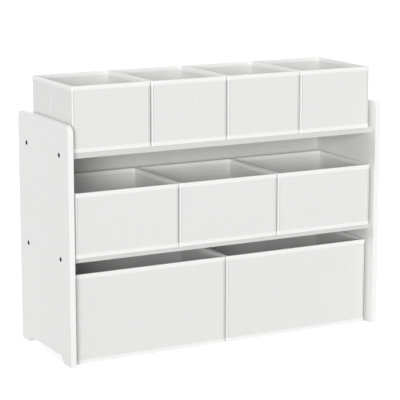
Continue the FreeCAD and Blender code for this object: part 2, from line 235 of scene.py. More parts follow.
def draw_out(bm: bmesh.types.BMesh, edges: list[bmesh.types.BMEdge], move: Vector,
             scale: float) -> list[bmesh.types.BMEdge]:
    """Extrude a ring of edges, move the new ring and scale it about its middle.

    Args:
        bm: the mesh under work.
        edges: the ring.
        move: how far the new ring lies from the old one, and which way.
        scale: the new ring's size as a share of the old one's.

    Returns:
        The new ring's edges.
    """
    made = bmesh.ops.extrude_edge_only(bm, edges=edges)["geom"]
    verts = [item for item in made if isinstance(item, bmesh.types.BMVert)]
    bmesh.ops.translate(bm, verts=verts, vec=move)
    middle = sum((vert.co for vert in verts), Vector()) / len(verts)
    bmesh.ops.scale(bm, verts=verts, vec=(scale, scale, scale), space=Matrix.Translation(-middle))
    return [item for item in made if isinstance(item, bmesh.types.BMEdge)
            and all(vert in verts for vert in item.verts)]


def make_piece(name: str, bm: bmesh.types.BMesh, material: bpy.types.Material, body: str,
               stands_for: tuple[str, ...] = (), sharp_above: float = SHARP_ABOVE) -> bpy.types.Object:
    """Turn a finished mesh into a piece that rides on a body.

    Args:
        name: the piece's name.
        bm: its mesh, which is freed.
        material: its finish.
        body: the body it rides on.
        stands_for: the CAD nodes it is shown instead of.
        sharp_above: edges that bend by more degrees than this look sharp.

    Returns:
        The piece.
    """
    mesh = bpy.data.meshes.new(name)
    bm.to_mesh(mesh)
    bm.free()
    mesh.shade_smooth()
    mesh.set_sharp_from_angle(angle=math.radians(sharp_above))
    mesh.materials.append(material)
    piece = bpy.data.objects.new(name, mesh)
    bpy.context.scene.collection.objects.link(piece)
    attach(piece, body)
    if stands_for:
        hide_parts(*stands_for)
    log.info("%s: %d faces on %s", name, len(mesh.polygons), body)
    return piece


def dress_node(node: str, material: bpy.types.Material) -> None:
    """Give a CAD node its finish.

    Args:
        node: the node's name.
        material: the finish.
    """
    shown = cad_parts[node]
    shown.data.materials.clear()
    shown.data.materials.append(material)
    log.info("%s: dressed as %s", node, material.name)


# ---- Finishes ----

@dataclass(frozen=True)
class MelamineBoard:
    """White melamine-faced particle board: resin paper on both faces, a plastic band on the edges."""

    colour: str = "#F2F2F1"
    roughness: float = 0.38
    edge_reach: float = 0.9 * MM
    pearl_size: float = 2.5 * MM
    pearl_height: float = 0.04 * MM

    def material(self, node: str, axis: str, edge_band_and_shade_colour: str) -> bpy.types.Material:
        """Make one board's finish: an even satin white with a fine pearl grain, and its edge band, which on
        the shelves is darkened with painted shade.

        Args:
            node: the board's node.
            axis: the axis its faces point along.
            edge_band_and_shade_colour: the band's colour, which for the shelves is a darker painted shade.

        Returns:
            The material.
        """
        material = blank_material(f"melamine_{node}")
        place = add_node(material, "ShaderNodeTexCoord").outputs["Object"]
        low, high = (getattr(corner, axis.lower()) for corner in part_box(node))
        split = add_node(material, "ShaderNodeSeparateXYZ", {"Vector": place})
        # What lies between the two faces is edge: its distance from the middle of the board is smaller.
        banded = add_node(material, "ShaderNodeMath",
                          {0: split.outputs[axis], 1: (low + high) / 2,
                           2: (high - low) / 2 - self.edge_reach}, operation="COMPARE")
        # On the shelves the edge colour is painted shade from the bins above.
        colour = add_node(material, "ShaderNodeMix",
                          {"Factor": banded.outputs["Value"], "A": linear(self.colour),
                           "B": linear(edge_band_and_shade_colour)}, data_type="RGBA")
        # The real pearl grain is about 0.5 mm; it is drawn five times as coarse, so that it shows.
        pearl = add_node(material, "ShaderNodeTexNoise",
                         {"Vector": place, "Scale": 1 / self.pearl_size, "Detail": 2.0})
        relief = add_node(material, "ShaderNodeBump",
                          {"Height": pearl.outputs["Fac"], "Distance": self.pearl_height, "Strength": 0.5})
        return finish_surface(material, {"Base Color": colour.outputs["Result"], "Roughness": self.roughness,
                                         "Normal": relief.outputs["Normal"]})


@dataclass(frozen=True)
class Hardboard:
    """Thin hardboard: lacquered white on the side that shows, bare brown fibres behind."""

    face_colour: str = "#ECECEA"
    fibre_colour: str = "#A98763"
    dark_fibre_colour: str = "#8E6E4D"
    fibre_size: float = 5 * MM
    cloud_size: float = 80 * MM
    cloud_share: float = 0.5
    roughness: float = 0.55

    def material(self, rear_from: float) -> bpy.types.Material:
        """Make the finish: smooth white lacquer in front, mottled brown behind.

        Args:
            rear_from: the Y beyond which the board shows its bare rear.

        Returns:
            The material.
        """
        material = blank_material("hardboard_lacquered_front")
        place = add_node(material, "ShaderNodeTexCoord").outputs["Object"]
        split = add_node(material, "ShaderNodeSeparateXYZ", {"Vector": place})
        behind = add_node(material, "ShaderNodeMath", {0: split.outputs["Y"], 1: rear_from},
                          operation="GREATER_THAN")
        # Fibre bundles are about 1 mm across; they are drawn five times as coarse, so that they show.
        fibres = add_node(material, "ShaderNodeTexNoise",
                          {"Vector": place, "Scale": 1 / self.fibre_size, "Detail": 4.0, "Roughness": 0.7})
        # Pressing leaves wide darker clouds, where the fibres lie closer.
        clouds = add_node(material, "ShaderNodeTexNoise",
                          {"Vector": place, "Scale": 1 / self.cloud_size, "Detail": 3.0})
        mottling = add_node(material, "ShaderNodeMix",
                            {"Factor": self.cloud_share, "A": fibres.outputs["Fac"],
                             "B": clouds.outputs["Fac"]})
        spread = add_node(material, "ShaderNodeMapRange",
                          {"Value": mottling.outputs["Result"], "From Min": 0.3, "From Max": 0.7})
        bare = add_node(material, "ShaderNodeMix",
                        {"Factor": spread.outputs["Result"], "A": linear(self.fibre_colour),
                         "B": linear(self.dark_fibre_colour)}, data_type="RGBA")
        colour = add_node(material, "ShaderNodeMix",
                          {"Factor": behind.outputs["Value"], "A": linear(self.face_colour),
                           "B": bare.outputs["Result"]}, data_type="RGBA")
        return finish_surface(material, {"Base Color": colour.outputs["Result"], "Roughness": self.roughness})


@dataclass(frozen=True)
class NonWovenCloth:
    """Spun-bonded polypropylene cloth, hot-rolled with a linen emboss."""

    name: str
    colour: str
    thread_colour: str
    # The hem's paler colour is partly the doubled cloth and partly a painted highlight on the corners.
    hem_and_highlight_colour: str = "#F4F4F3"
    # The seams' darker colour is painted shade in their creases.
    seam_shade_colour: str = "#8E8E8C"
    thread_spacing: float = 4 * MM
    slub_length: float = 70 * MM
    weft_share: float = 0.35
    emboss_height: float = 0.05 * MM
    roughness: float = 0.92

    def material(self) -> bpy.types.Material:
        """Make the finish: matt, with faint threads, a paler doubled hem that is a painted highlight on the
        corners, and needle-pricked seams darkened with painted shade.

        Returns:
            The material.
        """
        material = blank_material(self.name)
        place = add_node(material, "ShaderNodeTexCoord").outputs["Object"]
        fine, long = 1 / self.thread_spacing, 1 / self.slub_length
        # The rolled threads are about 0.8 mm apart; they are drawn five times as coarse, so that they show.
        upright = add_node(material, "ShaderNodeMapping", {"Vector": place, "Scale": (fine, fine, long)})
        level = add_node(material, "ShaderNodeMapping", {"Vector": place, "Scale": (long, long, fine)})
        warp = add_node(material, "ShaderNodeTexNoise",
                        {"Vector": upright.outputs["Vector"], "Scale": 1.0, "Detail": 3.0})
        weft = add_node(material, "ShaderNodeTexNoise",
                        {"Vector": level.outputs["Vector"], "Scale": 1.0, "Detail": 3.0})
        # The upright threads show more than the level ones.
        weave = add_node(material, "ShaderNodeMix",
                         {"Factor": self.weft_share, "A": warp.outputs["Fac"], "B": weft.outputs["Fac"]})
        relief = add_node(material, "ShaderNodeBump",
                          {"Height": weave.outputs["Result"], "Distance": self.emboss_height,
                           "Strength": 0.6})
        spread = add_node(material, "ShaderNodeMapRange",
                          {"Value": weave.outputs["Result"], "From Min": 0.35, "From Max": 0.65})
        colour = add_node(material, "ShaderNodeMix",
                          {"Factor": spread.outputs["Result"], "A": linear(self.thread_colour),
                           "B": linear(self.colour)}, data_type="RGBA")
        # The hem is two layers thick and is painted paler, as a painted highlight on the corners; the seams
        # are painted darker, as painted shade in their creases.
        for mark, marked_colour in ((PALE_HEM_AND_HIGHLIGHT, self.hem_and_highlight_colour), (SEAM_SHADE, self.seam_shade_colour)):
            marked = add_node(material, "ShaderNodeAttribute", attribute_name=mark)
            colour = add_node(material, "ShaderNodeMix",
                              {"Factor": marked.outputs["Fac"], "A": colour.outputs["Result"],
                               "B": linear(marked_colour)}, data_type="RGBA")
        return finish_surface(material, {"Base Color": colour.outputs["Result"],
                                         "Roughness": self.roughness, "Sheen Weight": 0.15,
                                         "Sheen Roughness": 0.5, "Normal": relief.outputs["Normal"]})


@dataclass(frozen=True)
class BindingTape:
    """Woven polyester binding tape, folded and sewn over an edge."""

    colour: str = "#FCFCFA"
    rib_spacing: float = 4 * MM
    rib_length: float = 20 * MM
    rib_height: float = 0.08 * MM
    roughness: float = 0.75

    def material(self) -> bpy.types.Material:
        """Make the finish: whiter and smoother than the cloth, with faint ribs across the tape.

        Returns:
            The material.
        """
        material = blank_material("binding_tape_woven_polyester")
        place = add_node(material, "ShaderNodeTexCoord").outputs["Object"]
        fine, long = 1 / self.rib_spacing, 1 / self.rib_length
        # The woven ribs are about 0.5 mm apart; they are drawn as coarse as the render can show.
        stretched = add_node(material, "ShaderNodeMapping", {"Vector": place, "Scale": (fine, fine, long)})
        ribs = add_node(material, "ShaderNodeTexNoise",
                        {"Vector": stretched.outputs["Vector"], "Scale": 1.0, "Detail": 1.0})
        relief = add_node(material, "ShaderNodeBump",
                          {"Height": ribs.outputs["Fac"], "Distance": self.rib_height, "Strength": 0.5})
        return finish_surface(material, {"Base Color": linear(self.colour), "Roughness": self.roughness,
                                         "Sheen Weight": 0.1, "Sheen Roughness": 0.4,
                                         "Normal": relief.outputs["Normal"]})


@dataclass(frozen=True)
class SewingThread:
    """Twisted polyester sewing thread."""

    colour: str = "#E6E6E4"
    roughness: float = 0.6

    def material(self) -> bpy.types.Material:
        """Make the finish: a plain white with a dull shine.

        Returns:
            The material.
        """
        material = blank_material("sewing_thread_polyester")
        return finish_surface(material, {"Base Color": linear(self.colour), "Roughness": self.roughness})


@dataclass(frozen=True)
class GreyBoard:
    """Solid grey-brown cardboard, pressed from waste paper."""

    colour: str = "#B4A48E"
    speck_colour: str = "#9A8A75"
    speck_size: float = 3 * MM
    roughness: float = 0.9

    def material(self) -> bpy.types.Material:
        """Make the finish: matt and faintly speckled with fibres.

        Returns:
            The material.
        """
        material = blank_material("cardboard_solid_grey")
        place = add_node(material, "ShaderNodeTexCoord").outputs["Object"]
        specks = add_node(material, "ShaderNodeTexNoise",
                          {"Vector": place, "Scale": 1 / self.speck_size, "Detail": 3.0})
        colour = add_node(material, "ShaderNodeMix",
                          {"Factor": specks.outputs["Fac"], "A": linear(self.colour),
                           "B": linear(self.speck_colour)}, data_type="RGBA")
        return finish_surface(material, {"Base Color": colour.outputs["Result"], "Roughness": self.roughness})


@dataclass(frozen=True)
class Beech:
    """Bare beech, turned into dowels."""

    colour: str = "#D8B78C"
    grain_colour: str = "#BE9A6C"
    grain_width: float = 1.2 * MM
    grain_length: float = 14 * MM
    roughness: float = 0.6

    def material(self) -> bpy.types.Material:
        """Make the finish: pale brown with short darker flecks along the dowel.

        Returns:
            The material.
        """
        material = blank_material("beech_turned_bare")
        place = add_node(material, "ShaderNodeTexCoord").outputs["Object"]
        fine, long = 1 / self.grain_width, 1 / self.grain_length
        along = add_node(material, "ShaderNodeMapping", {"Vector": place, "Scale": (long, fine, fine)})
        grain = add_node(material, "ShaderNodeTexNoise",
                         {"Vector": along.outputs["Vector"], "Scale": 1.0, "Detail": 2.0})
        colour = add_node(material, "ShaderNodeMix",
                          {"Factor": grain.outputs["Fac"], "A": linear(self.colour),
                           "B": linear(self.grain_colour)}, data_type="RGBA")
        return finish_surface(material, {"Base Color": colour.outputs["Result"], "Roughness": self.roughness})


@dataclass(frozen=True)
class PlatedSteel:
    """Steel with a thin outer layer: bright zinc, or black oxide."""

    name: str
    colour: str
    roughness: float
    roughness_spread: float = 0.08
    blotch_size: float = 2 * MM

    def material(self) -> bpy.types.Material:
        """Make the finish: a metal whose shine varies a little over the layer.

        Returns:
            The material.
        """
        material = blank_material(self.name)
        place = add_node(material, "ShaderNodeTexCoord").outputs["Object"]
        blotches = add_node(material, "ShaderNodeTexNoise",
                            {"Vector": place, "Scale": 1 / self.blotch_size, "Detail": 2.0})
        dull = add_node(material, "ShaderNodeMapRange",
                        {"Value": blotches.outputs["Fac"], "To Min": self.roughness - self.roughness_spread,
                         "To Max": self.roughness + self.roughness_spread})
        return finish_surface(material, {"Base Color": linear(self.colour), "Metallic": 1.0,
                                         "Roughness": dull.outputs["Result"]})


@dataclass
class Finishes:
    """Every finish of the organizer, each made once."""

    cloth: bpy.types.Material = field(default_factory=lambda: NonWovenCloth(
        "non_woven_cloth_linen_emboss", colour="#F0F0EF", thread_colour="#EDEDEC").material())
    board_cloth: bpy.types.Material = field(default_factory=lambda: NonWovenCloth(
        "non_woven_cloth_over_board", colour="#ECECEB", thread_colour="#E8E8E7").material())
    tape: bpy.types.Material = field(default_factory=lambda: BindingTape().material())
    thread: bpy.types.Material = field(default_factory=lambda: SewingThread().material())
    cardboard: bpy.types.Material = field(default_factory=lambda: GreyBoard().material())
    beech: bpy.types.Material = field(default_factory=lambda: Beech().material())
    dark_steel: bpy.types.Material = field(default_factory=lambda: PlatedSteel(
        "steel_black_oxide", colour="#17171A", roughness=0.55).material())
    bright_steel: bpy.types.Material = field(default_factory=lambda: PlatedSteel(
        "steel_zinc_bright", colour="#B9B9BC", roughness=0.35).material())


# ---- Carcass ----

@dataclass
class Carcass:
    """The boards of the organizer and what holds them together."""

    finishes: Finishes
    panel_edge_colour: str = "#FDFDFC"
    # The shelves' front edges sit under the bins' overhang: their darker colour is painted shade.
    shelf_edge_shade_colour: str = "#DEDEDC"
    screw_inset: float = 27.5 * MM
    screw_length: float = 45 * MM
    head_radius: float = 6 * MM
    head_proud: float = 0.3 * MM
    head_height: float = 2.5 * MM
    socket_radius: float = 2.4 * MM
    socket_depth: float = 2.2 * MM
    socket_sides: int = 6
    thread_crest: float = 2.5 * MM
    thread_root: float = 1.9 * MM
    thread_pitch: float = 3 * MM
    flank_share: float = 0.35
    root_share: float = 0.3
    screw_faces: int = 20
    nail_head_radius: float = 1.8 * MM
    nail_head_height: float = 0.6 * MM
    nail_shank_radius: float = 0.7 * MM
    nail_length: float = 14 * MM
    nail_inset: float = 60 * MM
    nail_faces: int = 12
    nails_per_shelf: int = 4

    def shelves(self) -> list[tuple[Vector, Vector]]:
        """Give both shelves' boxes."""
        return [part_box(node) for node in ("top_shelf", "middle_shelf")]

    def dress(self) -> None:
        """Give every board and the dowels their finishes."""
        board = MelamineBoard()
        for node in ("left_side_panel", "right_side_panel"):
            dress_node(node, board.material(node, "X", self.panel_edge_colour))
        # The shelves' edges get a darker colour, which is painted shade.
        for node in ("top_shelf", "middle_shelf"):
            dress_node(node, board.material(node, "Z", self.shelf_edge_shade_colour))
        front, rear = (corner.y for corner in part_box("back_panel"))
        dress_node("back_panel", Hardboard().material(rear_from=(front + rear) / 2))
        dress_node("shelf_dowels", self.finishes.beech)

    def add_screw(self, bm: bmesh.types.BMesh, seat: Vector, inwards: float) -> None:
        """Add one shelf screw with a flat head, a hexagon socket and a ridged shank.

        Args:
            bm: the mesh that collects the screws.
            seat: the middle of the head's outer face.
            inwards: +1 for a screw that points along +X, -1 for the other way.
        """
        axis = Vector((inwards, 0.0, 0.0))
        placed = Matrix.Translation(seat) @ Matrix.Rotation(inwards * math.pi / 2, 4, "Y")
        before = set(bm.faces)
        rings = []
        for radius, sides in ((self.head_radius, self.screw_faces), (self.socket_radius, self.socket_sides)):
            made = bmesh.ops.create_circle(bm, segments=sides, radius=radius, matrix=placed)
            rings.append(list({edge for vert in made["verts"] for edge in vert.link_edges}))
        outer, socket = rings
        bmesh.ops.bridge_loops(bm, edges=outer + socket)
        floor = draw_out(bm, socket, axis * self.socket_depth, 1.0)
        bmesh.ops.edgeloop_fill(bm, edges=floor)
        ring = draw_out(bm, outer, axis * self.head_height, self.thread_root / self.head_radius)
        turns = int((self.screw_length - self.head_height) / self.thread_pitch)
        # Each turn of the thread is drawn as a ridge: up one flank, down the other, and along the root.
        ridge = ((self.flank_share, self.thread_crest / self.thread_root),
                 (self.flank_share, self.thread_root / self.thread_crest),
                 (self.root_share, 1.0))
        for share, scale in ridge * turns:
            ring = draw_out(bm, ring, axis * (self.thread_pitch * share), scale)
        bmesh.ops.edgeloop_fill(bm, edges=ring)
        bmesh.ops.recalc_face_normals(bm, faces=[face for face in bm.faces if face not in before])

    def screws(self) -> bpy.types.Object:
        """Build the eight shelf screws.

        Returns:
            The piece that is shown instead of the plain screws.
        """
        bm = bmesh.new()
        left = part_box("left_side_panel")[0].x - self.head_proud
        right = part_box("right_side_panel")[1].x + self.head_proud
        for low, high in self.shelves():
            height = (low.z + high.z) / 2
            for depth in (low.y + self.screw_inset, high.y - self.screw_inset):
                self.add_screw(bm, Vector((left, depth, height)), 1.0)
                self.add_screw(bm, Vector((right, depth, height)), -1.0)
        return make_piece("shelf_screws_detailed", bm, self.finishes.dark_steel, FRAME_BODY,
                          ("shelf_screws",))

    def nails(self) -> bpy.types.Object:
        """Build the small nails that hold the back against both shelves.

        Returns:
            The piece.
        """
        bm = bmesh.new()
        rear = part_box("back_panel")[1].y
        along_depth = Matrix.Rotation(math.pi / 2, 4, "X")
        for low, high in self.shelves():
            span = high.x - low.x - 2 * self.nail_inset
            height = (low.z + high.z) / 2
            for step in range(self.nails_per_shelf):
                x = low.x + self.nail_inset + span * step / (self.nails_per_shelf - 1)
                for radius, reach in ((self.nail_head_radius, self.nail_head_height),
                                      (self.nail_shank_radius, -self.nail_length)):
                    middle = Matrix.Translation((x, rear + reach / 2, height))
                    bmesh.ops.create_cone(bm, cap_ends=True, segments=self.nail_faces, radius1=radius,
                                          radius2=radius, depth=abs(reach), matrix=middle @ along_depth)
        return make_piece("back_panel_nails", bm, self.finishes.bright_steel, FRAME_BODY)

    def build(self) -> None:
        """Build and dress the whole carcass."""
        self.dress()
        self.screws()
        self.nails()


# ---- Fabric bins ----

@dataclass(frozen=True)
class Wall:
    """One of a bin's four walls: the axis it faces along, and which way."""

    axis: int
    way: float

    @property
    def along(self) -> int:
        """The level axis in the wall."""
        return 1 - self.axis

    @property
    def outwards(self) -> Vector:
        """The way the wall's outer face points."""
        return Vector([self.way * (index == self.axis) for index in range(3)])

    def face(self, low: Vector, high: Vector) -> float:
        """Give the place of the wall's outer face along its axis, for a box's two corners."""
        return high[self.axis] if self.way > 0 else low[self.axis]

    def point(self, plane: float, along: float, height: float) -> Vector:
        """Give a point by its places along the wall's own directions.

        Args:
            plane: its place along the axis that the wall faces.
            along: its place along the wall's level axis.
            height: its place along Z.

        Returns:
            The point.
        """
        place = Vector((0.0, 0.0, height))
        place[self.axis], place[self.along] = plane, along
        return place


SIDE_WALLS = (Wall(0, -1.0), Wall(0, 1.0))
REAR_WALL = Wall(1, 1.0)
WALLS = (*SIDE_WALLS, Wall(1, -1.0), REAR_WALL)


@dataclass
class WallShape:
    """How one bin's walls depart from flat: each bows a little and ripples between its seams."""

    low: Vector
    high: Vector
    seed: float
    bow: float = 0.7 * MM
    ripple: float = 0.3 * MM
    ripple_length: float = 60 * MM
    stiff_depth: float = 6 * MM
    reach: float = 18 * MM
    height_share: float = 0.62
    bin_phase: float = 2.3
    wall_phase: float = 1.7

    def shift(self, point: Vector) -> Vector:
        """Say how far a point of the bin moves.

        Args:
            point: its place in the flat bin.

        Returns:
            The move, which fades to nothing at the corners, at the base and away from the walls.
        """
        move = Vector()
        up = min(1.0, max(0.0, (point.z - self.low.z) / (self.high.z - self.low.z)))
        rise = math.sin(self.height_share * math.pi * up)
        for number, wall in enumerate(WALLS):
            inset = abs(point[wall.axis] - wall.face(self.low, self.high))
            if inset >= self.reach:
                continue
            hold = min(1.0, (self.reach - inset) / (self.reach - self.stiff_depth))
            start, end = self.low[wall.along], self.high[wall.along]
            across = min(1.0, max(0.0, (point[wall.along] - start) / (end - start)))
            lean = math.sin(self.seed * self.bin_phase + number * self.wall_phase)
            if wall == REAR_WALL:
                # Pushed home, the bin stands against the back, so this wall never bows outwards.
                lean = -abs(lean)
            flat = wall.point(self.seed + number, point[wall.along], point.z)
            wave = noise.noise(flat / self.ripple_length)
            amount = hold * rise * math.sin(math.pi * across) * (self.bow * lean + self.ripple * wave)
            move[wall.axis] += wall.way * amount
        return move

    def bend(self, bm: bmesh.types.BMesh) -> None:
        """Move every vertex of a flat mesh with the walls.

        Args:
            bm: the mesh under work.
        """
        for vert in bm.verts:
            vert.co += self.shift(vert.co)


@dataclass
class FabricBin:
    """One sewn bin: cover, bound rim, bound lower edge, stitching, stiffeners and loose base board."""

    name: str
    number: int
    finishes: Finishes
    wall: float = 4.2 * MM
    tape: float = 0.5 * MM
    tape_gap: float = 0.05 * MM
    corner_radius: float = 3.5 * MM
    inner_radius: float = 1.2 * MM
    rim_fold: float = 1.3 * MM
    rim_fold_faces: int = 3
    corner_faces: int = 4
    grid: float = 7 * MM
    tape_grid: float = 12 * MM
    seam_inset: float = 4.6 * MM
    seam_width: float = 1.8 * MM
    seam_depth: float = 0.9 * MM
    seam_cuts: tuple[float, ...] = (-0.5, 0.0, 0.5)
    fold_width: float = 10 * MM
    fold_depth: float = 0.8 * MM
    fold_cuts: tuple[float, ...] = (-0.5, -0.3, -0.12, 0.0, 0.12, 0.3, 0.5)
    fold_pale: float = 0.35
    stitch_length: float = 2.6 * MM
    stitch_width: float = 0.8 * MM
    stitch_height: float = 0.6 * MM
    stitch_pitch: float = 3.6 * MM
    stitch_margin: float = 1.8 * MM
    stitch_sink: float = 0.8
    board_round: float = 0.9 * MM
    board_round_faces: int = 2
    shape: WallShape = field(init=False)

    def __post_init__(self) -> None:
        """Find the bin's outer box and shape its walls."""
        rim_low, rim_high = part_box(f"{self.name}_rim_binding")
        base_low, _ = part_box(f"{self.name}_cover")
        self.shape = WallShape(Vector((rim_low.x, rim_low.y, base_low.z)), rim_high, float(self.number))

    @property
    def rim_width(self) -> float:
        """How far apart the outer faces of the rim tape's two flaps are."""
        return self.wall + 2 * (self.tape + self.tape_gap)

    def add_ring(self, bm: bmesh.types.BMesh, low: Vector, high: Vector, inset: float, radius: float,
                 with_floor: bool = False) -> list[bmesh.types.BMFace]:
        """Add upright walls with round corners at an even inset from a box, open at the top.

        Args:
            bm: the mesh under work.
            low: the box's lowest corner.
            high: the box's highest corner.
            inset: how far the walls stand inside the box.
            radius: radius of the upright corners.
            with_floor: close the walls below.

        Returns:
            The new faces, which point outwards.
        """
        before = set(bm.faces)
        step = Vector((inset, inset, 0.0))
        opened = [face for face in add_block(bm, low + step, high - step)
                  if face.normal.z > LEVEL or (face.normal.z < -LEVEL and not with_floor)]
        bmesh.ops.delete(bm, geom=opened, context="FACES")
        kept = [face for face in bm.faces if face not in before]
        rounded(bm, uprights_of(kept), radius, self.corner_faces)
        return [face for face in bm.faces if face not in before]

    def cover(self) -> bpy.types.Object:
        """Build the cover: an outer and an inner skin, joined at the rim, with pressed-in seams.

        Returns:
            The piece that is shown instead of the plain cover.
        """
        bm = bmesh.new()
        low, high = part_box(f"{self.name}_cover")
        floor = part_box(f"{self.name}_base_board")[0].z
        self.add_ring(bm, low, high, 0.0, self.corner_radius, with_floor=True)
        lining = self.add_ring(bm, Vector((low.x, low.y, floor)), high, self.wall, self.inner_radius,
                               with_floor=True)
        bmesh.ops.reverse_faces(bm, faces=lining)
        bmesh.ops.bridge_loops(bm, edges=[edge for edge in bm.edges if edge.is_boundary])
        bmesh.ops.recalc_face_normals(bm, faces=bm.faces[:])

        seam = [self.seam_inset + self.seam_width * part for part in self.seam_cuts]
        for axis in (0, 1):
            cut_across(bm, axis, [low[axis] + place for place in seam])
            cut_across(bm, axis, [high[axis] - place for place in seam])
        cut_across(bm, 1, [(low.y + high.y) / 2 + self.fold_width * part for part in self.fold_cuts])
        for axis in (0, 1, 2):
            divide_along(bm, axis, self.grid)
        self.press_seams(bm, low, high)
        self.shape.bend(bm)
        return make_piece(f"{self.name}_sewn_cover", bm, self.finishes.cloth, self.name,
                          (f"{self.name}_cover",))

    def press_seams(self, bm: bmesh.types.BMesh, low: Vector, high: Vector) -> None:
        """Press the corner seams and the side walls' fold seams into a flat cover, and mark where the cloth
        is painted paler at the hems and where painted shade darkens the seams.

        Args:
            bm: the cover's mesh.
            low: the cover's lowest corner.
            high: its highest corner.
        """
        hem, seam = (bm.verts.layers.float.new(name) for name in (PALE_HEM_AND_HIGHLIGHT, SEAM_SHADE))
        middle = (low.y + high.y) / 2
        # The doubled hem round each corner ends where the seam's crease begins.
        hem_reach = self.seam_inset - self.seam_width / 2 + ON_FACE
        for vert in bm.verts:
            move = Vector()
            from_faces = [min(vert.co[axis] - low[axis], high[axis] - vert.co[axis]) for axis in (0, 1)]
            # The corners are marked paler: the doubled hem, and a painted highlight where the corner catches
            # the light.
            vert[hem] = float(max(from_faces) < hem_reach)
            for wall in WALLS:
                inset = abs(vert.co[wall.axis] - wall.face(low, high))
                place = vert.co[wall.along]
                if inset < ON_FACE:
                    from_corner = min(place - low[wall.along], high[wall.along] - place)
                    press = max(0.0, 1 - 2 * abs(from_corner - self.seam_inset) / self.seam_width)
                    # The crease is marked for painted shade, darkest at its middle.
                    vert[seam] = max(vert[seam], press)
                    move[wall.axis] -= wall.way * self.seam_depth * press
                if wall in SIDE_WALLS and min(inset, abs(inset - self.wall)) < ON_FACE:
                    off_fold = min(1.0, 2 * abs(place - middle) / self.fold_width)
                    dent = self.fold_depth * math.cos(math.pi / 2 * off_fold) ** 2
                    move[wall.axis] -= wall.way * math.copysign(dent, self.wall / 2 - inset)
                    # Between the half boards the lining is pressed thin and looks paler.
                    if inset > self.wall / 2 and off_fold < self.fold_pale:
                        vert[hem] = 1.0
            vert.co += move

    def rim_binding(self) -> bpy.types.Object:
        """Build the tape folded over the rim: two upright flaps joined by a round fold.

        Returns:
            The piece that is shown instead of the plain rim binding.
        """
        bm = bmesh.new()
        low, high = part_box(f"{self.name}_rim_binding")
        self.add_ring(bm, low, high, 0.0, self.corner_radius)
        inside = self.add_ring(bm, low, high, self.rim_width, self.inner_radius)
        bmesh.ops.reverse_faces(bm, faces=inside)
        top = [edge for edge in bm.edges if edge.is_boundary
               and all(vert.co.z > high.z - ON_FACE for vert in edge.verts)]
        bmesh.ops.bridge_loops(bm, edges=top)
        bmesh.ops.recalc_face_normals(bm, faces=bm.faces[:])
        rounded(bm, [edge for edge in bm.edges if turns_level(edge)], self.rim_fold, self.rim_fold_faces)
        return self.tape_piece(bm, "folded_rim_tape", "rim_binding")

    def base_binding(self) -> bpy.types.Object:
        """Build the tape round the lower edge.

        Returns:
            The piece that is shown instead of the plain base binding.
        """
        bm = bmesh.new()
        low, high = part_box(f"{self.name}_base_binding")
        self.add_ring(bm, low, high, 0.0, self.corner_radius)
        return self.tape_piece(bm, "base_tape", "base_binding")

    def tape_piece(self, bm: bmesh.types.BMesh, piece: str, node: str) -> bpy.types.Object:
        """Give a tape's outer faces their thickness, bend them with the walls and make the piece.

        Args:
            bm: the tape's outer faces.
            piece: the piece's name, after the bin's.
            node: the name of the CAD node it is shown instead of, after the bin's.

        Returns:
            The piece.
        """
        for axis in (0, 1):
            divide_along(bm, axis, self.tape_grid)
        bmesh.ops.solidify(bm, geom=bm.faces[:], thickness=self.tape)
        self.shape.bend(bm)
        return make_piece(f"{self.name}_{piece}", bm, self.finishes.tape, self.name,
                          (f"{self.name}_{node}",), sharp_above=SHARP_ABOVE_TAPE)

    def sew(self, bm: bmesh.types.BMesh, start: Vector, end: Vector, outwards: Vector) -> None:
        """Sew one straight line of stitches.

        Args:
            bm: the mesh that collects the stitches.
            start: one end of the line.
            end: the other end.
            outwards: the way the sewn face points.
        """
        way = (end - start).normalized()
        count = max(2, round((end - start).length / self.stitch_pitch))
        pitch = (end - start) / count
        turn = Matrix((way, outwards, way.cross(outwards))).transposed().to_4x4()
        size = Matrix.Diagonal((self.stitch_length / 2, self.stitch_height / 2, self.stitch_width / 2, 1.0))
        line = bmesh.new()
        bmesh.ops.create_icosphere(line, subdivisions=1, radius=1.0,
                                   matrix=Matrix.Translation(start + pitch / 2) @ turn @ size)
        bmesh.ops.spin(line, geom=line.verts[:] + line.edges[:] + line.faces[:], cent=start, axis=outwards,
                       dvec=pitch, angle=0.0, steps=count - 1, use_duplicate=True)
        sewn = bpy.data.meshes.new("sewn_line")
        line.to_mesh(sewn)
        line.free()
        bm.from_mesh(sewn)
        bpy.data.meshes.remove(sewn)

    def stitching(self) -> bpy.types.Object:
        """Build the stitches along both bindings, the corner seams and the fold seams.

        Returns:
            The piece.
        """
        bm = bmesh.new()
        rim_low, rim_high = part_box(f"{self.name}_rim_binding")
        base_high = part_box(f"{self.name}_base_binding")[1].z
        rim_line, base_line = rim_low.z + self.stitch_margin, base_high - self.stitch_margin
        inner = self.rim_width
        for wall in WALLS:
            start, end = rim_low[wall.along], rim_high[wall.along]
            face = wall.face(rim_low, rim_high)
            for plane, height, outwards, margin in (
                    (face, rim_line, wall.outwards, self.corner_radius),
                    (face - wall.way * inner, rim_line, -wall.outwards, inner + self.inner_radius),
                    (face, base_line, wall.outwards, self.corner_radius)):
                self.sew(bm, wall.point(plane, start + margin, height),
                         wall.point(plane, end - margin, height), outwards)
        self.sew_uprights(bm, base_high, rim_low.z)
        self.shape.bend(bm)
        return make_piece(f"{self.name}_stitching", bm, self.finishes.thread, self.name,
                          sharp_above=NEVER_SHARP)

